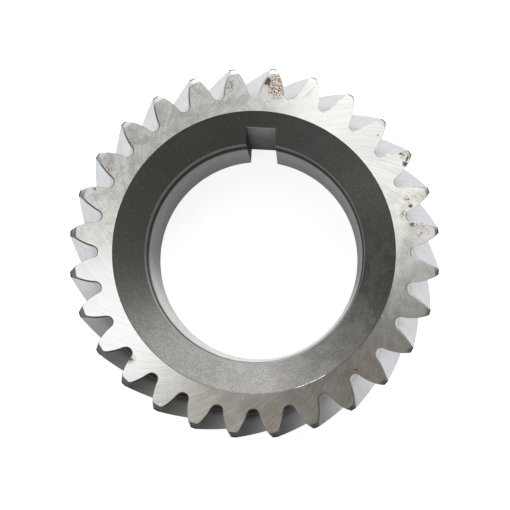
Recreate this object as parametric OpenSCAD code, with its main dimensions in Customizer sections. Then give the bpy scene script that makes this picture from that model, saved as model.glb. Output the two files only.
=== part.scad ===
// A crankshaft timing gear: one steel ring with left-hand helical teeth,
// a dished front, a ground bore and one keyway.
// It lies on its back face, with the bore's axis on +Z and the keyway towards +Y.

/* [Teeth] */
// Number of teeth
teeth = 28; // [26:1:32]
// Size of the teeth, as a module measured across the helix
normal_module = 3.75; // [3.5:0.05:4.1]
// Angle of the teeth to the gear's axis
helix_angle = 24; // [0:0.5:30]
// Pressure angle of the flanks, measured across the helix
pressure_angle = 22.5; // [18:0.5:23]
// Height of a tooth above the pitch circle, as a share of the module
tip_share = 1.1; // [0.9:0.05:1.15]
// Depth of a tooth below the pitch circle, as a share of the module
root_share = 1.45; // [1.2:0.05:1.5]
// Room between a tooth and its mate at the pitch circle
backlash = 0.44; // [0:0.02:0.5]
// Height of the rounded root, from the root circle to where the flank begins
root_round = 1.7; // [1.2:0.1:2.2]
// Angle at the front face from the keyway's middle to the nearest tooth
tooth_phase = -3.4; // [-6.4:0.1:6.4]

/* [Body] */
// Width of the gear along its axis, from the back face to the front face
face_width = 41; // [32:1:52]
// Width of the flat ring between the tooth roots and the dished front
ring_width = 5; // [3:0.5:6]
// Slope of the dished front below the flat ring
dish_angle = 30; // [15:1:40]
// Width of the bevel on the tooth tips, measured across the face
tip_bevel_w = 1.8; // [0.5:0.1:2.5]
// Depth of the bevel on the tooth tips, measured along the axis
tip_bevel_h = 0.9; // [0.5:0.1:2.5]

/* [Bore] */
// Diameter of the ground bore
bore_d = 74; // [70:0.5:80]
// Depth of the widened mouth beyond the bore's wall
mouth_step = 0.25; // [0.2:0.05:0.8]
// Length of the widened mouth, from the dish inwards
mouth_length = 4.8; // [3:0.1:8]
// Length of the taper from the mouth down to the ground bore
taper_length = 2.8; // [2:0.1:5]
// Width of the relief groove at the mouth's inner end
groove_w = 1.4; // [0.4:0.1:2.4]
// Depth of the relief groove beyond the mouth
groove_depth = 0.5; // [0.2:0.05:0.8]
// Size of the 45 degree chamfer at the bore's back end
back_chamfer = 0.8; // [0.3:0.1:2]

/* [Keyway] */
// Width of the keyway
key_w = 10; // [6:0.5:14]
// Depth of the keyway beyond the ground bore
key_depth = 4.9; // [3:0.1:6]

/* [Hidden] */
// Sides of the turned form, where it is drawn as a mesh
turned_sides = 180;
// How far each cut runs past the surface that it opens
over = 1;
// Least width of the dished front, seen along the axis
least_dish = 1;
// Slices along a tooth space, and points along each flank and each root curve
space_slices = 6;
flank_steps = 5;
root_steps = 4;

// Tooth sizes in the plane of the face
transverse_module = normal_module / cos(helix_angle);
transverse_angle = atan(tan(pressure_angle) / cos(helix_angle));
pitch_r = teeth * transverse_module / 2;
base_r = pitch_r * cos(transverse_angle);
tip_r = pitch_r + tip_share * normal_module;
root_r = pitch_r - root_share * normal_module;
flank_start_r = max(base_r, root_r + root_round);
pitch_step = 360 / teeth;
half_tooth_at_pitch = pitch_step / 4 - (backlash / 2 / pitch_r) * 180 / PI;
turn_per_mm = tan(helix_angle) / pitch_r * 180 / PI;

// Turned form
bore_r = bore_d / 2;
mouth_r = bore_r + mouth_step;
groove_r = mouth_r + groove_depth;
dish_edge_r = max(root_r - ring_width, mouth_r + least_dish);
dish_z = face_width - (dish_edge_r - mouth_r) * tan(dish_angle);
mouth_z = dish_z - mouth_length;
taper_z = mouth_z - groove_w - taper_length;

// Involute function of an angle in degrees
function inv(a) = tan(a) * 180 / PI - a;

// Half of the angle that a tooth space takes at a radius on the flank
function half_space(r) =
    pitch_step / 2 - half_tooth_at_pitch - inv(transverse_angle) + inv(acos(base_r / r));

// Point at a radius and an angle from the space's middle, which lies on +X
function polar(r, a) = [r * cos(a), r * sin(a)];

// Point on a curve that leaves a along the line to b and ends at c along the line from b
function bend(a, b, c, t) = (1 - t) * (1 - t) * a + 2 * t * (1 - t) * b + t * t * c;

// One flank of a tooth space, from outside the tips down to the root curve
cut_r = tip_r + over;
flank = [
    for (i = [0 : flank_steps])
        let (r = cut_r + (flank_start_r - cut_r) * i / flank_steps)
        polar(r, half_space(r))
];
flank_end = flank[flank_steps];
flank_dir = flank_end - flank[flank_steps - 1];
root_corner = flank_end + flank_dir * (root_r - flank_end[0]) / flank_dir[0];
root_curve = [
    for (i = [1 : root_steps])
        bend(flank_end, root_corner, [root_r, 0], i / root_steps)
];
half_outline = concat(flank, root_curve);
last = len(half_outline) - 1;

// Both sides of the space, as one closed outline
space_outline = concat(
    half_outline,
    [for (i = [last - 1 : -1 : 0]) [half_outline[i][0], -half_outline[i][1]]]
);

// Cutter for one space between two teeth, turned to its place at the front face
module tooth_space(front_angle) {
    rotate(front_angle + turn_per_mm * (face_width + over))
    translate([0, 0, -over])
    linear_extrude(
        height = face_width + 2 * over,
        twist = turn_per_mm * (face_width + 2 * over),
        slices = space_slices
    )
    polygon(space_outline);
}

// The ring before its teeth are cut: bevelled rim, dished front, bore and groove
module turned_blank() {
    rotate_extrude($fn = turned_sides)
    polygon([
        [bore_r + back_chamfer, 0],
        [tip_r - tip_bevel_w, 0],
        [tip_r, tip_bevel_h],
        [tip_r, face_width - tip_bevel_h],
        [tip_r - tip_bevel_w, face_width],
        [dish_edge_r, face_width],
        [mouth_r, dish_z],
        [mouth_r, mouth_z],
        [groove_r, mouth_z],
        [groove_r, mouth_z - groove_w],
        [mouth_r, mouth_z - groove_w],
        [bore_r, taper_z],
        [bore_r, back_chamfer]
    ]);
}

// Slot for the key, right through the gear on the +Y side
module keyway() {
    translate([-key_w / 2, 0, -over])
    cube([key_w, bore_r + key_depth, face_width + 2 * over]);
}

module crankshaft_gear() {
    color([0.72, 0.72, 0.70])
    difference() {
        turned_blank();
        keyway();
        for (i = [0 : teeth - 1])
            tooth_space(90 + tooth_phase + (i + 0.5) * pitch_step);
    }
}

crankshaft_gear();
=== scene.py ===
"""Looks of a crankshaft gear: a fine mesh of the helical gear, its steels and stains, floor, lights
and camera.

The part's frame: back face on z = 0, the bore's axis on +Z, the keyway towards +Y. Sizes are millimetres
until a mesh is made, which is in metres. A depth is measured from the front face towards the back.
"""

import math

import bmesh
import bpy
import numpy as np
from mathutils.geometry import delaunay_2d_cdt
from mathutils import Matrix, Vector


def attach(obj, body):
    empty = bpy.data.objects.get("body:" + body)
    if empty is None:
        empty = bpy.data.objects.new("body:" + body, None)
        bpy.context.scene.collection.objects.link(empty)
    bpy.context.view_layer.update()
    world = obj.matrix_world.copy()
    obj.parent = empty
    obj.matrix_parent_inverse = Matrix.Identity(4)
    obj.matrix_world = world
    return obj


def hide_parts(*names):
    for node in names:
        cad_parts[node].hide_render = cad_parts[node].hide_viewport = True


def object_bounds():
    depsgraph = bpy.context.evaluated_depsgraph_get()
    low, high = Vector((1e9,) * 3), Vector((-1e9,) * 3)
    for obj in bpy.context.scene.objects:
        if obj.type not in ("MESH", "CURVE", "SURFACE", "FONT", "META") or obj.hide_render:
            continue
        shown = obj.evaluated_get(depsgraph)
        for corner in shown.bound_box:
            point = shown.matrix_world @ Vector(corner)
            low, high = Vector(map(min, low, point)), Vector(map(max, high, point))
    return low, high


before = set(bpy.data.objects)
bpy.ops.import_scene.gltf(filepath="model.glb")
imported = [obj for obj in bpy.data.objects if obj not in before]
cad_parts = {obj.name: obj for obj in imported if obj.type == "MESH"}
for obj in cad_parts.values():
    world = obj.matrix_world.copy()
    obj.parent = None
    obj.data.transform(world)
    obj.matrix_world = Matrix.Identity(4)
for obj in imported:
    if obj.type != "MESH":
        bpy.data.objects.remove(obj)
cad_low, cad_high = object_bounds()

MM = 0.001
WIDTH = cad_high.z / MM

# Teeth, as in the part
TEETH = 28
NORMAL_MODULE = 3.75
HELIX = math.radians(24)
PRESSURE = math.radians(22.5)
TIP_SHARE = 1.1
ROOT_SHARE = 1.45
BACKLASH = 0.44
ROOT_ROUND = 1.7
TOOTH_PHASE = math.radians(-3.4)

# Turned form, as in the part
RING_WIDTH = 5
DISH_ANGLE = math.radians(30)
TIP_BEVEL_W = 1.8
TIP_BEVEL_H = 0.9
BORE_R = 37
MOUTH_STEP = 0.25
MOUTH_LENGTH = 4.8
TAPER_LENGTH = 2.8
GROOVE_W = 1.4
GROOVE_DEPTH = 0.5
BACK_CHAMFER = 0.8
KEY_HALF = 5
KEY_TOP = BORE_R + 4.9

# Deburred edges of the teeth, finer than in the part: wider along the root and the flank on the
# counter-clockwise side of a tooth, narrow along the other flank, and rounded at the tips' corners
DEBUR_WIDE = 0.4
DEBUR_NARROW = 0.14
DEBUR_SLOPE = 0.9
BEVEL_SLOPE = TIP_BEVEL_H / TIP_BEVEL_W
CORNER_ROUND = 0.5
# The tips' bevel is turned off centre: it is wider by this much at one angle, narrower at the opposite one
BEVEL_OFFSET = 0.4
BEVEL_WIDE_ANGLE = math.radians(170)
# Ledge at the root, where the cut that finished the flank stops
ROOT_LEDGE = 0.07
NO_LEDGE = 1e-4
TIP_EDGE_ROUND = 0.15
# Place of the rounded tip edge's middle point, as a share of the rounding
KNEE_SHARE = 0.3

# Search for the deburred edge's inner end: how far in it can lie, and how often that is halved
FARTHEST_IN = 4.0
HALVINGS = 40
JUST_INSIDE = 1e-3

# Mesh steps
FLANK_STEPS = 12
ROOT_STEPS = 9
TIP_STEPS = 3
WALL_ROWS = 26
EDGE_ROWS = 4
RING_PER_PITCH = 26
SHARP_ANGLE = math.radians(18)
# The flank's steps get shorter towards the tip by this power
FLANK_CROWDING = 1.5

# Smallest lengths and turns: millimetres, radians, then metres in the finished mesh
TINY = 1e-9
LEAST_TURN = 2e-6
FILL_GAP = 1e-6
MERGE_GAP = 1e-6
SLIVER = 1e-7

transverse_module = NORMAL_MODULE / math.cos(HELIX)
transverse_angle = math.atan(math.tan(PRESSURE) / math.cos(HELIX))
pitch_r = TEETH * transverse_module / 2
base_r = pitch_r * math.cos(transverse_angle)
tip_r = pitch_r + TIP_SHARE * NORMAL_MODULE
root_r = pitch_r - ROOT_SHARE * NORMAL_MODULE
flank_start_r = max(base_r, root_r + ROOT_ROUND)
pitch_step = 2 * math.pi / TEETH
turn_per_mm = math.tan(HELIX) / pitch_r
bevel_r = tip_r - TIP_BEVEL_W

mouth_r = BORE_R + MOUTH_STEP
groove_r = mouth_r + GROOVE_DEPTH
dish_edge_r = root_r - RING_WIDTH
dish_slope = math.tan(DISH_ANGLE)
dish_depth = (dish_edge_r - mouth_r) * dish_slope
mouth_depth = dish_depth + MOUTH_LENGTH
taper_depth = mouth_depth + GROOVE_W + TAPER_LENGTH
key_corner_r = math.hypot(KEY_HALF, KEY_TOP)


def polar(radius, angle):
    return np.stack([radius * np.cos(angle), radius * np.sin(angle)], -1)


def involute(angle):
    return np.tan(angle) - angle


def half_tooth(radius):
    """Half of the angle that a tooth takes at a radius on its flank."""
    at_pitch = pitch_step / 4 - BACKLASH / 2 / pitch_r
    return at_pitch + involute(transverse_angle) - involute(np.arccos(np.minimum(1, base_r / radius)))


def tooth_side(ledge_height):
    """Points of one side of a tooth that lies on +X, from the middle of the space up to its own middle."""
    rise = np.linspace(0, 1, FLANK_STEPS + 1)
    flank_r = flank_start_r + (tip_r - TIP_EDGE_ROUND - flank_start_r) * (1 - (1 - rise) ** FLANK_CROWDING)
    flank = polar(flank_r, half_tooth(flank_r))
    low_angle = half_tooth(flank_start_r)
    inwards = np.array([math.sin(low_angle), -math.cos(low_angle)])
    ledge = flank[0] + inwards * ledge_height
    downwards = flank[0] - flank[1]
    space_middle = polar(root_r, pitch_step / 2)
    outwards = space_middle / root_r
    corner = ledge + downwards * (root_r - ledge @ outwards) / (downwards @ outwards)
    t = np.linspace(1, 0, ROOT_STEPS + 1)[:, None]
    root = (1 - t) ** 2 * ledge + 2 * t * (1 - t) * corner + t ** 2 * space_middle
    edge_angle = half_tooth(tip_r)
    round_angle = TIP_EDGE_ROUND / tip_r
    knee = polar(tip_r - TIP_EDGE_ROUND * KNEE_SHARE, edge_angle - round_angle * KNEE_SHARE)
    land_angles = (edge_angle - round_angle) * np.linspace(1, 0, TIP_STEPS + 1)
    land = polar(np.full(TIP_STEPS + 1, tip_r), land_angles)
    return np.concatenate([root, flank, knee[None], land])


def both_sides(side):
    """The whole tooth's points, clockwise side first, without the last one, which starts the next tooth."""
    return np.concatenate([side * [1, -1], side[::-1][1:-1]])


def nearest(points, line):
    """Distance from each point to a line of points, and the unit vector away from the line."""
    start, along = line[:-1], line[1:] - line[:-1]
    share = np.einsum("psi,si->ps", points[:, None] - start, along) / (along ** 2).sum(1)
    away = points[:, None] - start - np.clip(share, 0, 1)[..., None] * along
    distance = np.hypot(away[..., 0], away[..., 1])
    rows, best = np.arange(len(points)), distance.argmin(1)
    distance, away = distance[rows, best], away[rows, best]
    return distance, away / np.maximum(distance, TINY)[:, None]


def outline_normals(outline):
    """Unit vectors from a tooth's outline into the tooth."""
    before = np.concatenate([turned(outline[-1:], -pitch_step), outline[:-1]])
    after = np.concatenate([outline[1:], turned(outline[:1], pitch_step)])
    along = after - before
    inwards = np.stack([-along[:, 1], along[:, 0]], -1)
    return inwards / np.hypot(*inwards.T)[:, None]


def turned(points, angle):
    c, s = math.cos(angle), math.sin(angle)
    return points @ np.array([[c, s], [-s, c]])


def in_order(points):
    """The same points, moved where the angle round the axis would turn back on the way along them."""
    radius, angle = np.hypot(*points.T), np.arctan2(points[:, 1], points[:, 0])
    forwards, backwards = np.maximum.accumulate(angle), np.minimum.accumulate(angle[::-1])[::-1]
    return polar(radius, (forwards + backwards) / 2 + LEAST_TURN * np.arange(len(points)))


def tooth_edge(middle_angle):
    """Rows of points over the deburred edge, from a tooth's outline to its ground face, and their depths."""
    side = tooth_side(NO_LEDGE)
    smooth = both_sides(side)
    outline = both_sides(tooth_side(ROOT_LEDGE))
    wall_line = side[:ROOT_STEPS + FLANK_STEPS + 2]
    climb = np.clip((np.hypot(*side.T) - root_r) / ROOT_ROUND, 0, 1)
    narrowing = DEBUR_WIDE + (DEBUR_NARROW - DEBUR_WIDE) * climb
    clockwise_width = np.concatenate([narrowing, np.full(len(side) - 2, DEBUR_NARROW)])
    first_r = bevel_r - BEVEL_OFFSET * math.cos(middle_angle - BEVEL_WIDE_ANGLE)

    def outside(points):
        """How deep the edge has been cut at each point, below zero on the ground face, and the way back."""
        radius = np.hypot(*points.T)
        over_tip = np.maximum(0, BEVEL_SLOPE * (radius - first_r) + CORNER_ROUND)
        total = over_tip ** 2
        way = -points * (over_tip / radius)[:, None]
        for sign, width in ((1, DEBUR_WIDE), (-1, clockwise_width)):
            distance, away = nearest(points, wall_line * [1, sign])
            short = np.maximum(0, DEBUR_SLOPE * (width - distance) + CORNER_ROUND)
            total += short ** 2
            way += away * short[:, None]
        return np.sqrt(total) - CORNER_ROUND, way / np.maximum(np.hypot(*way.T), TINY)[:, None]

    way = outside(smooth + outline_normals(smooth) * JUST_INSIDE)[1]
    low, high = np.zeros(len(smooth)), np.full(len(smooth), FARTHEST_IN)
    for _ in range(HALVINGS):
        middle = (low + high) / 2
        out = outside(smooth + way * middle[:, None])[0] > 0
        low, high = np.where(out, middle, low), np.where(out, high, middle)
    face_line = in_order(smooth + way * high[:, None])
    rows = []
    for share in np.linspace(0, 1, EDGE_ROWS + 1):
        points = outline + (face_line - outline) * share
        rows.append((points, np.maximum(0, outside(points)[0]) * (share < 1)))
    return rows


def around(teeth_rows, row, first_angle, hand):
    """One row of all teeth, placed round the gear at its depth from a face, in counter-clockwise order.
    hand is 1 at the front face; -1 at the back face, which is the front one turned over."""
    points = np.array([rows[row][0] for rows in teeth_rows])
    depths = np.array([rows[row][1] for rows in teeth_rows])
    radii, angle = np.hypot(points[..., 0], points[..., 1]), np.arctan2(points[..., 1], points[..., 0])
    middles = first_angle + pitch_step * np.arange(TEETH)[:, None]
    angles = middles + hand * (angle + turn_per_mm * depths)
    if hand < 0:
        angles, radii, depths = (back_order(x) for x in (angles, radii, depths))
        depths = WIDTH - depths
    return np.stack([radii * np.cos(angles), radii * np.sin(angles), WIDTH - depths], -1).reshape(-1, 3)


def back_order(values):
    """Each tooth's columns, counted the other way round, with the space's middle first again."""
    return np.concatenate([np.roll(values[:, :1], 1, axis=0), values[:, :0:-1]], axis=1)


front_angle = math.pi / 2 + TOOTH_PHASE
back_angle = front_angle + turn_per_mm * WIDTH


class Patches:
    """Gathers the gear's surface from grids of points, each with its material."""

    def __init__(self):
        self.points, self.faces, self.slots, self.count = [], [], [], 0

    def add(self, points, faces, slot):
        self.points.append(np.asarray(points, float))
        self.faces += [[self.count + i for i in face] for face in faces]
        self.slots += list(slot) if hasattr(slot, "__len__") else [slot] * len(faces)
        self.count += len(points)

    def grid(self, rows, slot, closed=True):
        """Quads between rows of points, each row going round the gear.
        slot is one material, or one a column."""
        width = len(rows[0])
        last = width if closed else width - 1
        faces, slots = [], []
        for r in range(len(rows) - 1):
            for c in range(last):
                d = (c + 1) % width
                faces.append([r * width + c, r * width + d, (r + 1) * width + d, (r + 1) * width + c])
                slots.append(slot[c % len(slot)] if hasattr(slot, "__len__") else slot)
        self.add(np.concatenate(rows), faces, slots)


# The mesh's materials, in the order of its slots
FACE, EDGE, FLANK, TIP, DISH, MOUTH, GROOVE, TAPER, BORE, KEYWAY, BACK = range(11)

# Output of delaunay_2d_cdt: triangles inside the border
INSIDE_ONLY = 1

RING_COUNT = TEETH * RING_PER_PITCH
ring_step = 2 * math.pi / RING_COUNT
key_columns = round(math.asin(KEY_HALF / key_corner_r) / ring_step)


def toothed_ring(patches):
    """The deburred edges, flanks, roots and tips, from the ground front face round to the back face."""
    teeth_rows = [tooth_edge(front_angle + tooth * pitch_step) for tooth in range(TEETH)]
    front = [around(teeth_rows, row, front_angle, 1) for row in range(EDGE_ROWS + 1)]
    back = [around(teeth_rows, row, back_angle, -1) for row in range(EDGE_ROWS + 1)]
    top, bottom = front[0], back[0]
    columns = len(top) // TEETH
    angle = np.unwrap(np.arctan2(top[:, 1], top[:, 0]))
    radius = np.hypot(top[:, 0], top[:, 1])
    wall = []
    for share in np.linspace(0, 1, WALL_ROWS + 1):
        z = top[:, 2] + (bottom[:, 2] - top[:, 2]) * share
        turn = angle + turn_per_mm * (top[:, 2] - z)
        wall.append(np.stack([radius * np.cos(turn), radius * np.sin(turn), z], -1))
    wall[-1] = bottom
    first_land = ROOT_STEPS + FLANK_STEPS + 2
    is_land = [first_land <= k < columns - first_land for k in range(columns)]
    patches.grid(front[::-1], EDGE)
    patches.grid(wall, [TIP if land else FLANK for land in is_land])
    patches.grid(back, EDGE)
    flat_ring(patches, front[-1], front_angle, WIDTH, FACE)
    flat_ring(patches, back[-1], back_angle, 0, BACK)


def flat_ring(patches, outer, middle_angle, z, slot):
    """The flat face between the deburred edges and the dish's circle, one pitch at a time."""
    columns = len(outer) // TEETH
    for tooth in range(TEETH):
        edge = outer[np.arange(tooth * columns, (tooth + 1) * columns + 1) % len(outer), :2]
        start = middle_angle + (tooth - 0.5) * pitch_step
        angles = start + ring_step * np.arange(RING_PER_PITCH + 1)
        circle = polar(np.full(RING_PER_PITCH + 1, dish_edge_r), angles)
        loop = np.concatenate([edge, circle[::-1]])
        border = [list(range(len(loop)))]
        found = delaunay_2d_cdt([tuple(p) for p in loop], [], border, INSIDE_ONLY, FILL_GAP)
        points = [(*corner, z) for corner in found[0]]
        patches.add(points, [list(face) for face in found[2]], slot)


def ring_angles(middle_angle):
    """Angles of the dish's circle on a face, counted from the column nearest to the keyway's middle."""
    start = middle_angle - pitch_step / 2
    shift = round((math.pi / 2 - start) / ring_step)
    return start + ring_step * (shift + np.arange(RING_COUNT))


def bore_row(radius):
    """Points of one circle of the bore's side, with the keyway's columns on a straight line at its top."""
    j = np.arange(RING_COUNT)
    half_key = math.asin(KEY_HALF / radius)
    share = (j - key_columns) / (RING_COUNT - 2 * key_columns)
    angles = math.pi / 2 + half_key + share * 2 * (math.pi - half_key)
    points = polar(np.full(RING_COUNT, radius), angles)
    from_middle = np.where(j > RING_COUNT / 2, j - RING_COUNT, j)
    in_key = abs(from_middle) < key_columns
    key_line = np.stack([-KEY_HALF * from_middle / key_columns, np.full(RING_COUNT, KEY_TOP)], -1)
    points[in_key] = key_line[in_key]
    return points


def on_dish(points):
    """Height of the dish's cone at each point."""
    return WIDTH - (dish_edge_r - np.hypot(*points.T)) * dish_slope


def bore_side(patches):
    """The dish, the bore with its mouth and groove, the keyway, and the back face inside the toothed ring."""
    profile = [
        (key_corner_r, (dish_edge_r - key_corner_r) * dish_slope, DISH),
        (mouth_r, dish_depth, MOUTH),
        (mouth_r, mouth_depth, GROOVE),
        (groove_r, mouth_depth, GROOVE),
        (groove_r, mouth_depth + GROOVE_W, GROOVE),
        (mouth_r, mouth_depth + GROOVE_W, TAPER),
        (BORE_R, taper_depth, BORE),
        (BORE_R, WIDTH - BACK_CHAMFER, BORE),
        (BORE_R + BACK_CHAMFER, WIDTH, BACK),
    ]
    rows = [np.column_stack([bore_row(r), np.full(RING_COUNT, WIDTH - depth)]) for r, depth, _ in profile]
    rows[0][:, 2] = on_dish(rows[0][:, :2])
    rim = bore_row(key_corner_r)
    back_rim = np.column_stack([rim, np.zeros(RING_COUNT)])
    front_circle = polar(np.full(RING_COUNT, dish_edge_r), ring_angles(front_angle))
    back_circle = polar(np.full(RING_COUNT, dish_edge_r), ring_angles(back_angle))
    patches.grid([np.column_stack([front_circle, np.full(RING_COUNT, WIDTH)]), rows[0]], DISH)
    patches.grid([back_rim, np.column_stack([back_circle, np.zeros(RING_COUNT)])], BACK)
    round_part = np.arange(key_columns, RING_COUNT - key_columns + 1) % RING_COUNT
    for upper, lower, (_, _, slot) in zip(rows, rows[1:] + [back_rim], profile):
        patches.grid([upper[round_part], lower[round_part]], slot, closed=False)
    key_part = np.arange(-key_columns, key_columns + 1) % RING_COUNT
    ceiling = []
    for row in rows:
        z = rows[0][key_part, 2] if row is rows[0] else np.full(len(key_part), row[0, 2])
        ceiling.append(np.column_stack([rim[key_part], z]))
    patches.grid(ceiling, KEYWAY, closed=False)
    for end in (0, -1):
        column = key_part[end]
        patches.grid([[row[column] for row in rows], [line[end] for line in ceiling]], KEYWAY, closed=False)


def gear_mesh():
    patches = Patches()
    toothed_ring(patches)
    bore_side(patches)
    mesh = bpy.data.meshes.new("gear")
    mesh.from_pydata(np.concatenate(patches.points) * MM, [], patches.faces)
    mesh.polygons.foreach_set("material_index", patches.slots)
    form = bmesh.new()
    form.from_mesh(mesh)
    bmesh.ops.remove_doubles(form, verts=form.verts, dist=MERGE_GAP)
    bmesh.ops.dissolve_degenerate(form, edges=form.edges, dist=SLIVER)
    bmesh.ops.recalc_face_normals(form, faces=form.faces)
    form.to_mesh(mesh)
    form.free()
    mesh.polygons.foreach_set("use_smooth", [True] * len(mesh.polygons))
    mesh.set_sharp_from_angle(angle=SHARP_ANGLE)
    return mesh


class Surface:
    """Makes one material's nodes. Any input can be a number, a tuple or another node's output."""

    def __init__(self, name, metallic=1.0):
        self.material = bpy.data.materials.new(name)
        self.material.use_nodes = True
        self.tree = self.material.node_tree
        self.shader = self.tree.nodes["Principled BSDF"]
        self.shader.inputs["Metallic"].default_value = metallic
        spot = self.node("ShaderNodeTexCoord", {}, "Object")
        self.place = self.vector("SCALE", spot, Scale=1 / MM)
        self.x, self.y, self.z = self.node("ShaderNodeSeparateXYZ", {0: self.place}).node.outputs
        self.radius = self.math("SQRT", self.math("ADD", self.square(self.x), self.square(self.y)))
        self.angle = self.math("ARCTAN2", self.y, self.x)

    def node(self, kind, inputs, output=0, **settings):
        node = self.tree.nodes.new(kind)
        for name, value in settings.items():
            setattr(node, name, value)
        for key, value in inputs.items():
            self.put(node.inputs[key], value)
        return node.outputs[output]

    def put(self, socket, value):
        if isinstance(value, bpy.types.NodeSocket):
            self.tree.links.new(value, socket)
        else:
            socket.default_value = value

    def math(self, operation, *values):
        return self.node("ShaderNodeMath", dict(enumerate(values)), operation=operation)

    def times(self, first, second):
        return self.math("MULTIPLY", first, second)

    def square(self, value):
        return self.times(value, value)

    def most(self, values):
        total = values[0]
        for value in values[1:]:
            total = self.math("MAXIMUM", total, value)
        return total

    def vector(self, operation, *values, **named):
        inputs = {**dict(enumerate(values)), **named}
        return self.node("ShaderNodeVectorMath", inputs, operation=operation)

    def combine(self, x, y, z):
        return self.node("ShaderNodeCombineXYZ", {0: x, 1: y, 2: z})

    def fade(self, value, low, high, at_low=0.0, at_high=1.0):
        """A smooth change from one number to another while a value goes from low to high."""
        ends = {0: value, 1: low, 2: high, 3: at_low, 4: at_high}
        return self.node("ShaderNodeMapRange", ends, interpolation_type="SMOOTHSTEP")

    def band(self, value, start, full, ending, end):
        """1 while a value lies between full and ending, and 0 before start and after end."""
        return self.times(self.fade(value, start, full), self.fade(value, ending, end, 1, 0))

    def blend(self, share, first, second):
        ends = {0: share, 6: (*first, 1) if isinstance(first, tuple) else first}
        ends[7] = (*second, 1) if isinstance(second, tuple) else second
        return self.node("ShaderNodeMix", ends, 2, data_type="RGBA")

    def overlay(self, colour, where, strength, stain):
        """A colour with a stain over it where a mask is 1, at a strength from 0 to 1."""
        return self.blend(self.times(where, strength), colour, stain)

    def noise(self, vector, scale=1.0, detail=2.0, roughness=0.5):
        inputs = {"Vector": vector, "Scale": scale, "Detail": detail, "Roughness": roughness}
        return self.node("ShaderNodeTexNoise", inputs)

    def shaken(self, scale, detail, reach):
        """The place, pushed to and fro by noise, which makes a spot's outline ragged."""
        inputs = {"Vector": self.place, "Scale": scale, "Detail": detail}
        push = self.vector("SUBTRACT", self.node("ShaderNodeTexNoise", inputs, "Color"), (0.5, 0.5, 0.5))
        return self.vector("ADD", self.place, self.vector("SCALE", push, Scale=reach))

    def turned_marks(self, lean, across, along):
        """Noise drawn out along marks that lean from the radius by an angle, with no seam round the gear."""
        log_radius = self.math("LOGARITHM", self.radius, math.e)
        turn = self.math("MULTIPLY_ADD", log_radius, math.tan(lean), self.angle)
        around = self.times(self.math("COSINE", turn), across)
        beside = self.times(self.math("SINE", turn), across)
        return self.noise(self.combine(around, beside, self.times(log_radius, along)))

    def ring_marks(self, across, along):
        """Noise drawn out along circles round the axis, as a lathe leaves it on a cone or a bore."""
        around = self.times(self.math("COSINE", self.angle), along)
        beside = self.times(self.math("SINE", self.angle), along)
        down = self.times(self.math("ADD", self.radius, self.z), across)
        return self.noise(self.combine(around, beside, down))

    def mixed_tone(self, marks, blotch):
        """Fine marks and wide blotches together, from 0 to 1."""
        both = self.math("ADD", self.fade(marks, 0.35, 0.65), self.fade(blotch, 0.4, 0.6))
        return self.times(both, 0.5)

    def sector(self, middle, inner, outer):
        """1 within inner degrees of an angle round the axis, fading to 0 at outer degrees from it."""
        off = self.math("COSINE", self.math("SUBTRACT", self.angle, math.radians(middle)))
        return self.fade(off, math.cos(math.radians(outer)), math.cos(math.radians(inner)))

    def spot(self, degrees, radius, high, wide, lean=0, soft=0.5, place=None):
        """1 inside an oval on the face, 0 outside it: its middle's angle and radius, its half sizes in mm."""
        angle = math.radians(degrees)
        middle = (radius * math.cos(angle), radius * math.sin(angle), WIDTH)
        turn = (0, 0, angle + math.radians(lean))
        inputs = {0: place or self.place, 1: middle, 2: turn, 3: (high, wide, FLAT)}
        local = self.node("ShaderNodeMapping", inputs, vector_type="TEXTURE")
        away = self.node("ShaderNodeVectorMath", {0: local}, 1, operation="LENGTH")
        return self.fade(away, 1 - soft, 1 + soft, 1, 0)

    def spots(self, stains, soft, place=None):
        return self.most([self.spot(*stain, soft=soft, place=place) for stain in stains])

    def finish(self, colour, roughness, bump, bump_depth, grain=None):
        """Sets the shader's inputs. grain is how far the marks lean from the radius, and their strength."""
        inputs = self.shader.inputs
        self.put(inputs["Base Color"], colour)
        self.put(inputs["Roughness"], roughness)
        relief = {"Height": bump, "Distance": bump_depth * MM, "Strength": 1.0}
        self.put(inputs["Normal"], self.node("ShaderNodeBump", relief))
        if grain:
            lean, strength = grain
            tangent = self.node("ShaderNodeTangent", {}, direction_type="RADIAL", axis="Z")
            self.put(inputs["Tangent"], tangent)
            inputs["Anisotropic"].default_value = strength
            inputs["Anisotropic Rotation"].default_value = (-lean / (2 * math.pi)) % 1
        return self.material


# How far a stain reaches along the axis: through the whole gear
FLAT = 1e3

# Sectors round the axis: the middle's angle, then the half widths where one is full and where it ends,
# in degrees
# The first sector is a painted highlight on the lower left, where the grinding marks catch the light
FACE_HIGHLIGHT = (206, 12, 34)
FACE_DULLER = (66, 12, 30)
FACE_BROWN = (292, 20, 62)
FACE_RIGHT = (355, 20, 42)
FACE_MOTTLED = (130, 35, 62)

# Lean of the grinding marks from the radius
GRIND_LEAN = math.radians(50)
CROSS_LEAN = math.radians(-35)
SCRATCH_LEAN = math.radians(58)
GRAIN_STRENGTH = 0.85

# Colours of the ground face: pairs run from between the marks to on them
GROUND = (0.545, 0.545, 0.52), (0.665, 0.665, 0.64)
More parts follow.
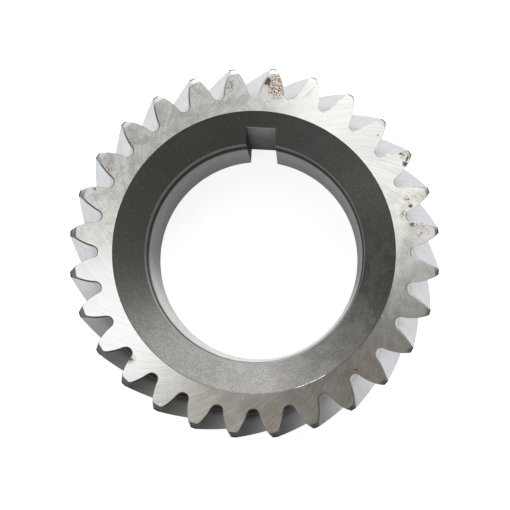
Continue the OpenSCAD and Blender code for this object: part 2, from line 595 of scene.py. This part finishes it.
# Painted highlight: gain and lift that make the ground colour lighter on the lower left
HIGHLIGHT_GAIN, HIGHLIGHT_LIFT = (0.65, 0.65, 0.65), (0.30, 0.30, 0.305)
DULLER = (0.50, 0.50, 0.485)
BRUSHED = (0.43, 0.387, 0.335), (0.55, 0.497, 0.435)
BRUSHED_SHADE = (0.33, 0.30, 0.26)
RIGHT_GREY = (0.38, 0.38, 0.34)
LEFT_GREY = (0.36, 0.36, 0.33)
PATCH_GREY = (0.27, 0.28, 0.26)
PATCH_RIM = (0.80, 0.80, 0.78)
STAIN_GREY = (0.20, 0.20, 0.18)
SPECKLE_GREY = (0.30, 0.30, 0.27)
SCRATCH_GREY = (0.30, 0.30, 0.29)
RUST_HALO = (0.50, 0.36, 0.24)
OLD_OIL = (0.36, 0.33, 0.25)
RUST_PALE = (0.62, 0.50, 0.40)
RUST_DOT = (0.17, 0.105, 0.075)
RUST_FIELD_DOT = (0.15, 0.10, 0.08)
RUST_BROWN = (0.13, 0.085, 0.065)
SMEAR = (0.74, 0.71, 0.67)
BRIGHT_SPECK = (0.95, 0.95, 0.93)

# Stains on the ground face: angle in degrees, radius, half height and half width in mm, lean in degrees
RUST_FIELD = (85.2, 55.6, 4.1, 2.9, 8)
RUST_SOLID = [
    (88.8, 57.1, 1.35, 1.45, 20), (37.2, 58.5, 0.4, 0.8, 30), (36.3, 60.6, 0.3, 1.1, 0),
    (34.4, 59.5, 1.0, 0.3, 40), (33.2, 58.0, 0.7, 1.0, 20), (46.3, 56.6, 0.22, 0.4, 0),
    (19.4, 54.0, 0.8, 0.55, 20), (12.9, 53.0, 0.7, 0.5, 0), (9.2, 55.5, 1.0, 0.2, 40),
    (224.3, 53.9, 0.6, 0.6, 0), (161.4, 57.0, 0.42, 0.42, 0), (314.2, 51.5, 1.0, 0.12, 25),
]
RUST_DOTS = [
    (101.2, 55.9, 1.8, 1.5, 0), (35.8, 59.3, 1.5, 1.8, 0), (13.4, 54.0, 1.8, 1.6, 0),
    (22.0, 53.6, 1.0, 1.4, 0), (17.4, 51.2, 1.0, 1.0, 0), (140.9, 54.8, 1.2, 1.2, 0),
    (153.3, 55.8, 1.9, 1.1, 20), (224.2, 53.9, 1.6, 1.4, 0),
]
FAINT_DOTS = [
    (21.7, 57.5, 3.2, 1.9, 0), (11.0, 57.5, 2.8, 2.2, 0), (151.4, 57.0, 2.2, 1.8, 0),
    (73.9, 56.0, 2.6, 0.5, -30), (138.5, 56.5, 2.0, 1.6, 0), (5.0, 50.5, 2.0, 2.6, 0),
    (310.0, 51.0, 1.6, 3.0, 0),
]
GREY_STAINS = [
    (112.5, 56.3, 2.0, 1.0, 0), (119.0, 51.3, 1.6, 3.0, 0), (105.0, 50.0, 1.2, 2.6, 20),
    (137.0, 52.5, 1.6, 1.6, 0), (97.2, 47.9, 0.5, 0.9, 0), (146.0, 49.6, 1.3, 2.4, 0),
    (128.0, 57.5, 1.6, 1.0, 0),
]
PALE_SMEARS = [
    (353.9, 48.4, 0.9, 1.5, 20), (344.1, 49.0, 0.5, 1.8, -15), (339.0, 48.7, 0.4, 0.9, 0),
    (320.4, 49.0, 0.5, 1.6, 20), (298.0, 54.5, 0.4, 1.6, 50), (242.7, 51.1, 0.5, 2.5, 40),
]
PALE_SPECKS = [
    (269.1, 48.4, 0.22, 0.18, 0), (336.7, 47.4, 0.3, 0.2, 0), (301.0, 50.2, 0.15, 0.3, 30),
]


def ground_tones(s, marks, wobble):
    """Ground steel with a painted highlight on the lower left, brown and brushed at the bottom, mottled right
    and left.
    """
    blotch = s.noise(s.place, 0.22, 4, 0.62)
    colour = s.blend(s.fade(marks, 0.36, 0.64), *GROUND)
    # Painted highlight on the lower left, where the grinding marks catch the light
    painted_light = s.vector("MULTIPLY_ADD", colour, HIGHLIGHT_GAIN, HIGHLIGHT_LIFT)
    colour = s.blend(s.sector(*FACE_HIGHLIGHT), colour, painted_light)
    colour = s.overlay(colour, s.sector(*FACE_DULLER), 0.5, DULLER)
    brushed = s.blend(s.fade(marks, 0.38, 0.62), *BRUSHED)
    brushed = s.blend(s.fade(wobble, 0.40, 0.62, 0, 0.25), brushed, BRUSHED_SHADE)
    warm = s.times(s.sector(*FACE_BROWN), s.fade(blotch, 0.35, 0.62, 0.5, 1.0))
    colour = s.blend(warm, colour, brushed)
    right = s.times(s.sector(*FACE_RIGHT), s.fade(blotch, 0.42, 0.58))
    colour = s.overlay(colour, right, 0.42, RIGHT_GREY)
    left = s.times(s.sector(*FACE_MOTTLED), s.fade(blotch, 0.44, 0.60))
    return s.overlay(colour, left, 0.2, LEFT_GREY)


def water_stains(s, colour, uneven, speckle):
    """Grey patches with pale rims on the upper left, and fine speckle among them."""
    left = s.sector(*FACE_MOTTLED)
    patch = s.noise(uneven, 0.27, 2, 0.45)
    colour = s.overlay(colour, s.times(left, s.fade(patch, 0.50, 0.53)), 0.25, PATCH_GREY)
    colour = s.overlay(colour, s.times(left, s.band(patch, 0.485, 0.50, 0.505, 0.52)), 0.35, PATCH_RIM)
    colour = s.overlay(colour, s.spots(GREY_STAINS, 0.15, uneven), 0.22, STAIN_GREY)
    return s.blend(s.times(left, s.fade(speckle, 0.5, 0.68, 0, 0.24)), colour, SPECKLE_GREY)


def rusted(s, colour, wobble):
    """Rust on the teeth, as haloes, dots and solid spots, and a mask of what is rusted."""
    ragged = s.shaken(0.9, 3.0, 1.0)
    frayed = s.shaken(2.2, 2.0, 1.6)
    rows = s.combine(s.times(s.x, 1.2), s.math("MULTIPLY_ADD", s.x, 1.1, s.times(s.y, 2.7)), 0.0)
    dots = s.fade(s.noise(rows, 1.0, 1, 0.5), 0.48, 0.54)
    sparse = s.fade(s.noise(s.place, 1.8, 2, 0.6), 0.52, 0.59)
    field = s.spot(*RUST_FIELD, soft=0.35, place=ragged)
    strong = s.spots(RUST_DOTS, 0.6, ragged)
    faint = s.spots(FAINT_DOTS, 0.6, ragged)
    colour = s.overlay(colour, strong, 0.22, RUST_HALO)
    colour = s.overlay(colour, faint, 0.22, OLD_OIL)
    colour = s.overlay(colour, field, 0.55, RUST_PALE)
    dotted = s.times(s.most([strong, s.times(faint, 0.4)]), sparse)
    colour = s.overlay(colour, dotted, 0.8, RUST_DOT)
    dotted_field = s.times(field, dots)
    colour = s.blend(dotted_field, colour, RUST_FIELD_DOT)
    solid = s.spots(RUST_SOLID, 0.3, frayed)
    colour = s.blend(s.times(solid, s.fade(wobble, 0.3, 0.5, 0.55, 0.95)), colour, RUST_BROWN)
    return colour, s.most([solid, dotted, dotted_field])


def ground_face():
    """Ground steel: crossing grinding marks, brown mottling towards the bottom, rust and grey stains."""
    s = Surface("ground_face")
    fine = s.turned_marks(GRIND_LEAN, 125, 9)
    coarse = s.turned_marks(GRIND_LEAN, 30, 4)
    crossing = s.turned_marks(CROSS_LEAN, 110, 8)
    scratch = s.turned_marks(SCRATCH_LEAN, 190, 5)
    marks = s.math("ADD", s.times(fine, 0.65), s.math("ADD", s.times(coarse, 0.2), s.times(crossing, 0.15)))
    wobble = s.noise(s.place, 1.4, 3, 0.7)
    speckle = s.noise(s.place, 2.2, 2, 0.7)
    uneven = s.shaken(0.9, 3.0, 5.0)
    colour = ground_tones(s, marks, wobble)
    colour = water_stains(s, colour, uneven, speckle)
    colour = s.blend(s.fade(scratch, 0.63, 0.70, 0, 0.4), colour, SCRATCH_GREY)
    colour, stained = rusted(s, colour, wobble)
    smears = s.times(s.spots(PALE_SMEARS, 0.6, uneven), s.fade(speckle, 0.42, 0.56, 0.1, 0.6))
    colour = s.blend(smears, colour, SMEAR)
    colour = s.blend(s.spots(PALE_SPECKS, 0.3), colour, BRIGHT_SPECK)
    roughness = s.math("ADD", s.fade(marks, 0.35, 0.65, 0.46, 0.38), s.times(stained, 0.3))
    height = s.math("ADD", fine, s.times(stained, -0.6))
    return s.finish(colour, roughness, height, 0.01, (GRIND_LEAN, GRAIN_STRENGTH))


# Sectors of the dish: painted light on its lower side, painted shade at its top, a painted highlight on the
# lower right, stains and specks
DISH_LIT = (270, 35, 85)
DISH_TANNED = (150, 35, 75)
DISH_SMOKY = (335, 30, 60)
DISH_SMOKIEST = (346, 8, 22)
DISH_SHADED_TOP = (76, 18, 46)
DISH_SPECKLED = (150, 45, 90)
DISH_HIGHLIGHT_SECTOR = (298, 5, 9)
DISH_STREAK = (283.3, 42.7, 0.35, 1.0, 15)

# Colours of the dish: pairs run from the grain's dark side to its light one; the first pair is painted light
# for the lower side, the second painted shade for the rest, and a near-black one more painted shade at the
# top
LIT_DISH = (0.128, 0.126, 0.120), (0.212, 0.209, 0.202)
SHADED_DISH = (0.088, 0.087, 0.081), (0.150, 0.148, 0.138)
DISH_TAN = (0.125, 0.115, 0.096)
DISH_SMOKE = (0.06, 0.06, 0.056)
DISH_TOP_SHADE = (0.06, 0.06, 0.057)
DISH_BLOTCH = (0.12, 0.112, 0.096)
DISH_RUST = (0.28, 0.20, 0.09)
DISH_SPECK = (0.34, 0.33, 0.31)
DISH_OUTLINE = (0.07, 0.067, 0.06)
KEYWAY_BURR = (0.34, 0.34, 0.33)
DISH_EDGE_HIGHLIGHT = (0.75, 0.75, 0.73)


def turned_dish():
    """Turned steel, matt and grained, with painted light on its lower side, painted shade at its top, a dark
    line at its outer edge, a painted highlight along part of that edge, a rust streak, and a burr along the
    keyway's front edge."""
    s = Surface("turned_dish")
    marks = s.ring_marks(6, 6)
    grain = s.noise(s.place, 1.9, 3, 0.75)
    blotch = s.noise(s.place, 0.2, 3, 0.6)
    light = s.blend(s.fade(grain, 0.32, 0.68), *LIT_DISH)
    shaded_tone = s.blend(s.fade(grain, 0.32, 0.68), *SHADED_DISH)
    # Painted light on the lower side of the dish, painted shade elsewhere
    colour = s.blend(s.sector(*DISH_LIT), shaded_tone, light)
    colour = s.overlay(colour, s.sector(*DISH_TANNED), 0.3, DISH_TAN)
    smoky = s.fade(s.noise(s.place, 0.16, 4, 0.6), 0.42, 0.54)
    smoke = s.math("ADD", s.times(s.sector(*DISH_SMOKY), 0.25), s.times(s.sector(*DISH_SMOKIEST), 0.3))
    colour = s.overlay(colour, smoky, smoke, DISH_SMOKE)
    # Painted shade at the top of the dish
    colour = s.overlay(colour, s.sector(*DISH_SHADED_TOP), 0.55, DISH_TOP_SHADE)
    colour = s.overlay(colour, s.fade(blotch, 0.42, 0.60), 0.2, DISH_BLOTCH)
    colour = s.overlay(colour, s.spot(*DISH_STREAK), 0.4, DISH_RUST)
    specks = s.times(s.fade(s.noise(s.place, 1.9, 1, 0.4), 0.74, 0.80), s.sector(*DISH_SPECKLED))
    colour = s.blend(specks, colour, DISH_SPECK)
    outline = s.fade(s.radius, dish_edge_r - 0.4, dish_edge_r - 0.15, 0, 0.6)
    colour = s.blend(outline, colour, DISH_OUTLINE)
    over_key = s.fade(s.math("ABSOLUTE", s.x), KEY_HALF - 0.5, KEY_HALF, 1, 0)
    colour = s.blend(s.times(over_key, s.band(s.y, 0, 1, KEY_TOP + 0.12, KEY_TOP + 0.3)), colour, KEYWAY_BURR)
    # Painted highlight: a broken pale line along the dish's outer edge on the lower right
    broken_highlight = s.times(s.sector(*DISH_HIGHLIGHT_SECTOR), s.fade(s.noise(s.place, 1.2), 0.42, 0.5))
    highlight = s.times(broken_highlight, s.fade(s.radius, dish_edge_r - 0.22, dish_edge_r - 0.12))
    colour = s.blend(highlight, colour, DISH_EDGE_HIGHLIGHT)
    return s.finish(colour, s.fade(marks, 0.3, 0.7, 0.56, 0.46), grain, 0.02, (math.radians(90), 0.6))


TAPER_DARK_SIDE = (200, 40, 62)
TAPER_DARK_BAND = (0.05, 0.05, 0.048)


def bore_steel(name, upper, lower, roughness, painted_light=(265, 45, 85), rim=1.0):
    """Ground or turned steel inside the bore: painted shade on the upper side, painted light on the lower
    one, and a darker band below the groove. rim scales the reflection at a flat angle."""
    s = Surface(name)
    marks = s.ring_marks(5, 8)
    blotch = s.noise(s.place, 0.3, 3, 0.6)
    # Painted shade on the upper side, painted light on the lower one, in a sector round the bottom
    colour = s.blend(s.sector(*painted_light), upper, lower)
    colour = s.vector("SCALE", colour, Scale=s.fade(s.mixed_tone(marks, blotch), 0.0, 1.0, 0.86, 1.14))
    bottom, top = WIDTH - taper_depth, WIDTH - mouth_depth
    # A darker band on the taper next to the groove, on the lower left
    below_groove = s.band(s.z, bottom + 1.4, bottom + 2.0, top - 0.1, top)
    colour = s.blend(s.times(below_groove, s.sector(*TAPER_DARK_SIDE)), colour, TAPER_DARK_BAND)
    s.shader.inputs["Specular Tint"].default_value = (rim, rim, rim, 1)
    return s.finish(colour, s.fade(marks, 0.3, 0.7, roughness * 1.15, roughness), marks, 0.006)


# The flanks' painted shade: its sector on the lower left, then its colours from back to front and in the
# roots
FLANK_SHADED_SIDE = (253, 22, 66)
FLANK_CLEAN = (0.64, 0.65, 0.67), (0.71, 0.72, 0.74)
SHADE_AT_BACK, SHADE_AT_FRONT = (0.62, 0.62, 0.63), (0.165, 0.163, 0.161)
SHADE_IN_ROOT = (0.11, 0.108, 0.106)
LEDGE_LINE = (0.40, 0.40, 0.39)
# Reflection of the flanks at a flat angle, weaker on the lower left with the painted shade
CLEAN_RIM, SHADED_RIM = (0.7, 0.7, 0.7), (0.18, 0.18, 0.18)


def flank_steel():
    """Shaved flanks: fine marks along the helix, and painted shade on the lower left, darkest at the front
    and roots.
    """
    s = Surface("flank_steel")
    turn = s.math("MULTIPLY_ADD", s.z, turn_per_mm, s.angle)
    around, beside = s.times(s.math("COSINE", turn), 120), s.times(s.math("SINE", turn), 120)
    marks = s.noise(s.combine(around, beside, s.times(s.z, 0.15)))
    blotch = s.noise(s.place, 0.25, 2, 0.6)
    colour = s.blend(s.mixed_tone(marks, blotch), *FLANK_CLEAN)
    # Painted shade on the lower left: darker towards the front face and the roots, darkest in them, with a
    # lighter line along the ledge
    painted_shade = s.blend(s.fade(s.z, 0.0, WIDTH), SHADE_AT_BACK, SHADE_AT_FRONT)
    painted_shade = s.vector("SCALE", painted_shade, Scale=s.fade(s.radius, flank_start_r, root_r + 5, 0.6, 1.0))
    painted_shade = s.blend(s.fade(s.radius, flank_start_r - 0.1, flank_start_r, 1, 0), painted_shade, SHADE_IN_ROOT)
    limits = [flank_start_r + d for d in (-0.12, -0.04, 0.08, 0.18)]
    painted_shade = s.overlay(painted_shade, s.band(s.radius, *limits), 0.6, LEDGE_LINE)
    shaded_side = s.sector(*FLANK_SHADED_SIDE)
    # Weaker reflection at a flat angle where the painted shade is
    s.put(s.shader.inputs["Specular Tint"], s.blend(shaded_side, CLEAN_RIM, SHADED_RIM))
    return s.finish(s.blend(shaded_side, colour, painted_shade), s.fade(blotch, 0.4, 0.6, 0.34, 0.28), marks, 0.004)


# Keyway colours: painted shade, and painted light on its top towards the front
KEYWAY_SHADED = (0.075, 0.076, 0.077), (0.093, 0.094, 0.096)
KEYWAY_LIT = (0.155, 0.156, 0.157), (0.185, 0.187, 0.19)


def keyway_steel():
    """The broached keyway: lengthwise marks, with painted light on its top towards the front and painted
    shade deeper in.
    """
    s = Surface("keyway_steel")
    marks = s.noise(s.combine(s.times(s.x, 6), s.times(s.y, 6), s.times(s.z, 0.3)))
    tone = s.mixed_tone(marks, s.noise(s.place, 0.3, 3, 0.6))
    # Painted light on the top and right side towards the front; painted shade on the left side and deeper in
    off_side = s.fade(s.x, 0.05 - KEY_HALF, 0.2 - KEY_HALF)
    lit_front = s.times(off_side, s.fade(s.z, WIDTH * 0.45, WIDTH * 0.92))
    colour = s.blend(lit_front, s.blend(tone, *KEYWAY_SHADED), s.blend(tone, *KEYWAY_LIT))
    return s.finish(colour, s.fade(marks, 0.3, 0.7, 0.52, 0.42), marks, 0.006)


TIP_TURNED = (0.46, 0.46, 0.455), (0.60, 0.60, 0.595)


def tip_steel():
    """The turned tops of the teeth: fine rings and faint blotches."""
    s = Surface("tip_steel")
    marks = s.ring_marks(4, 10)
    tone = s.mixed_tone(marks, s.noise(s.place, 0.4, 3, 0.6))
    return s.finish(s.blend(tone, *TIP_TURNED), s.fade(marks, 0.3, 0.7, 0.36, 0.28), marks, 0.006)


# Sectors of the edges: painted light at the top, painted shade at the bottom and on the left
EDGE_LIT = (110, 40, 75)
EDGE_SHADED = (265, 35, 65)
EDGE_SHADED_LEFT = (195, 70, 120)
FILED = (0.20, 0.195, 0.187), (0.31, 0.305, 0.296)
FILED_LIT = (0.50, 0.50, 0.49)
FILED_SHADE = (0.10, 0.095, 0.09)
FILED_DEEP_SHADE = (0.075, 0.072, 0.068)
TIP_RIM_SHADE = (0.06, 0.059, 0.058)


def edge_steel():
    """Filed bevels and deburred edges: grainy, with painted light at the top and painted shade at the bottom,
    along the roots on the left and at the tips' rim.
    """
    s = Surface("edge_steel")
    grain = s.noise(s.place, 1.8, 3, 0.6)
    colour = s.blend(s.fade(grain, 0.35, 0.65), *FILED)
    # Painted light at the top, painted shade at the bottom
    colour = s.overlay(colour, s.sector(*EDGE_LIT), 0.5, FILED_LIT)
    colour = s.overlay(colour, s.sector(*EDGE_SHADED), 0.45, FILED_SHADE)
    # Painted shade on the deburred edges of the roots and flanks on the left
    deburred = s.times(s.fade(s.radius, bevel_r - 1.2, bevel_r - 0.4, 1, 0), s.sector(*EDGE_SHADED_LEFT))
    colour = s.overlay(colour, deburred, 0.7, FILED_DEEP_SHADE)
    # Painted shade on the rounded rim of the tips
    colour = s.blend(s.fade(s.radius, tip_r - 0.6, tip_r - 0.4, 0, 0.9), colour, TIP_RIM_SHADE)
    return s.finish(colour, s.fade(grain, 0.3, 0.7, 0.52, 0.42), grain, 0.01)


# Groove colours: painted light at the bottom of the bore, near-black painted shade elsewhere
GROOVE_LIT_SECTOR = (282, 8, 52)
GROOVE_SHADE = (0.035, 0.034, 0.032), (0.06, 0.057, 0.054)
GROOVE_LIT_GREY = (0.30, 0.29, 0.28)


def dark_groove():
    """The relief groove, matt and near black for painted shade, with painted light at the bottom of the bore.
    """
    s = Surface("groove_shade", 0.0)
    grain = s.noise(s.place, 2, 2, 0.5)
    s.shader.inputs["Specular IOR Level"].default_value = 0.1
    # Painted shade in the groove, painted light at the bottom of the bore
    colour = s.blend(s.sector(*GROOVE_LIT_SECTOR), s.blend(grain, *GROOVE_SHADE), GROOVE_LIT_GREY)
    return s.finish(colour, 0.9, grain, 0.01)


face_steel = ground_face()
MATERIALS = {
    FACE: face_steel,
    EDGE: edge_steel(),
    FLANK: flank_steel(),
    TIP: tip_steel(),
    DISH: turned_dish(),
    # Mouth, taper and bore: the first colour is painted shade on the upper side, the second painted light on
    # the lower one
    MOUTH: bore_steel("mouth_steel", (0.13, 0.128, 0.123), (0.43, 0.425, 0.415), 0.4, rim=0.7),
    GROOVE: dark_groove(),
    TAPER: bore_steel("taper_steel", (0.055, 0.054, 0.052), (0.42, 0.415, 0.41), 0.5, (262, 35, 95), 0.6),
    BORE: bore_steel("bore_steel", (0.17, 0.17, 0.167), (0.72, 0.72, 0.715), 0.3, (268, 58, 90)),
    KEYWAY: keyway_steel(),
    BACK: face_steel,
}
gear = bpy.data.objects.new("gear", gear_mesh())
bpy.context.scene.collection.objects.link(gear)
for slot in sorted(MATERIALS):
    gear.data.materials.append(MATERIALS[slot])
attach(gear, "root")
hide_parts("crankshaft_gear")

# The camera, above the gear's front face: its place in mm and its turn in degrees
CAMERA_PLACE = (15.565, -22.483, 338.164)
CAMERA_TURN = (1.5556, 0.8154, 3.1379)
LENS = 63.529
SHIFT = (-0.0571, 0.0843)
NEAREST_SEEN = 0.01

camera = bpy.data.objects.new("camera", bpy.data.cameras.new("camera"))
bpy.context.scene.collection.objects.link(camera)
camera.location = [v * MM for v in CAMERA_PLACE]
camera.rotation_euler = [math.radians(v) for v in CAMERA_TURN]
camera.data.lens = LENS
camera.data.shift_x, camera.data.shift_y = SHIFT
camera.data.clip_start = NEAREST_SEEN
bpy.context.scene.camera = camera

# Half of the floor's side, in metres, and its grey. It shines to the camera and in reflections, where
# it is darker near the gear, as far as the shade reaches.
FLOOR_HALF = 30
FLOOR_GREY = (0.45, 0.45, 0.45, 1)
FLOOR_SEEN = 0.84
FLOOR_MIRRORED = 0.62
SHADE_REACH = 0.016

corners = [(x * FLOOR_HALF, y * FLOOR_HALF, 0) for x, y in ((-1, -1), (1, -1), (1, 1), (-1, 1))]
floor_mesh = bpy.data.meshes.new("floor")
floor_mesh.from_pydata(corners, [], [(0, 1, 2, 3)])
floor = bpy.data.objects.new("floor", floor_mesh)
bpy.context.scene.collection.objects.link(floor)


def white_floor():
    """Plain white to the camera and in reflections, with the gear's shadow on it; grey to diffuse light."""
    s = Surface("floor", 0.0)
    rays = s.tree.nodes.new("ShaderNodeLightPath").outputs
    s.shader.inputs["Base Color"].default_value = FLOOR_GREY
    s.shader.inputs["Roughness"].default_value = 0.9
    s.shader.inputs["Emission Color"].default_value = (1, 1, 1, 1)
    open_sky = s.node("ShaderNodeAmbientOcclusion", {"Distance": SHADE_REACH}, "AO")
    mirrored = s.times(s.most([rays["Is Glossy Ray"], rays["Is Transmission Ray"]]), open_sky)
    seen = s.times(rays["Is Camera Ray"], FLOOR_SEEN)
    s.put(s.shader.inputs["Emission Strength"], s.math("MULTIPLY_ADD", mirrored, FLOOR_MIRRORED, seen))
    return s.material


floor.data.materials.append(white_floor())

# Soft round lamps: angle round the gear and tilt from straight above in degrees, and watts.
# The strong ones stand beyond the top of the picture, and weak ones fill the other sides.
LAMPS = [
    (60, 27, 1.0), (120, 27, 0.63), (180, 27, 0.36), (240, 27, 0.87),
    (58, 52, 3.1), (98, 52, 4.5), (218, 52, 0.47),
    (58, 72, 0.8), (98, 72, 1.6), (138, 72, 1.45), (338, 72, 0.25),
]
LAMP_AWAY = 0.9
LAMP_SIZE = 0.55

for number, (turn, tilt, watts) in enumerate(LAMPS):
    turn, tilt = math.radians(turn), math.radians(tilt)
    lamp = bpy.data.objects.new(f"lamp_{number}", bpy.data.lights.new(f"lamp_{number}", "AREA"))
    bpy.context.scene.collection.objects.link(lamp)
    lamp.data.shape = "DISK"
    lamp.data.size = LAMP_SIZE
    lamp.data.energy = watts
    flat = LAMP_AWAY * math.sin(tilt)
    lamp.location = (flat * math.cos(turn), flat * math.sin(turn), LAMP_AWAY * math.cos(tilt))
    lamp.rotation_euler = (0, tilt, turn)
    lamp.visible_camera = False

# A dim room, lighter on the lamps' side, and a pale wall low down all round: each is where a direction's
# part to the north or upwards starts and ends to change, and the light at either end
ROOM = (-0.7, 0.7, 0.06, 0.2)
LOW_WALL = (0.12, 0.42, 0.85, 0.0)

world = bpy.data.worlds.new("world")
bpy.context.scene.world = world
world.use_nodes = True
tree = world.node_tree


def world_fade(value, low, high, at_low, at_high):
    node = tree.nodes.new("ShaderNodeMapRange")
    node.interpolation_type = "SMOOTHSTEP"
    tree.links.new(value, node.inputs[0])
    for index, number in enumerate((low, high, at_low, at_high)):
        node.inputs[index + 1].default_value = number
    return node.outputs[0]


direction = tree.nodes.new("ShaderNodeSeparateXYZ")
tree.links.new(tree.nodes.new("ShaderNodeTexCoord").outputs["Generated"], direction.inputs[0])
_, north, up = direction.outputs
light = tree.nodes.new("ShaderNodeMath")
light.operation = "ADD"
tree.links.new(world_fade(north, *ROOM), light.inputs[0])
tree.links.new(world_fade(up, *LOW_WALL), light.inputs[1])
tree.links.new(light.outputs[0], tree.nodes["Background"].inputs["Strength"])
tree.nodes["Background"].inputs["Color"].default_value = (1, 1, 1, 1)
bpy.context.scene.view_settings.view_transform = "Standard"
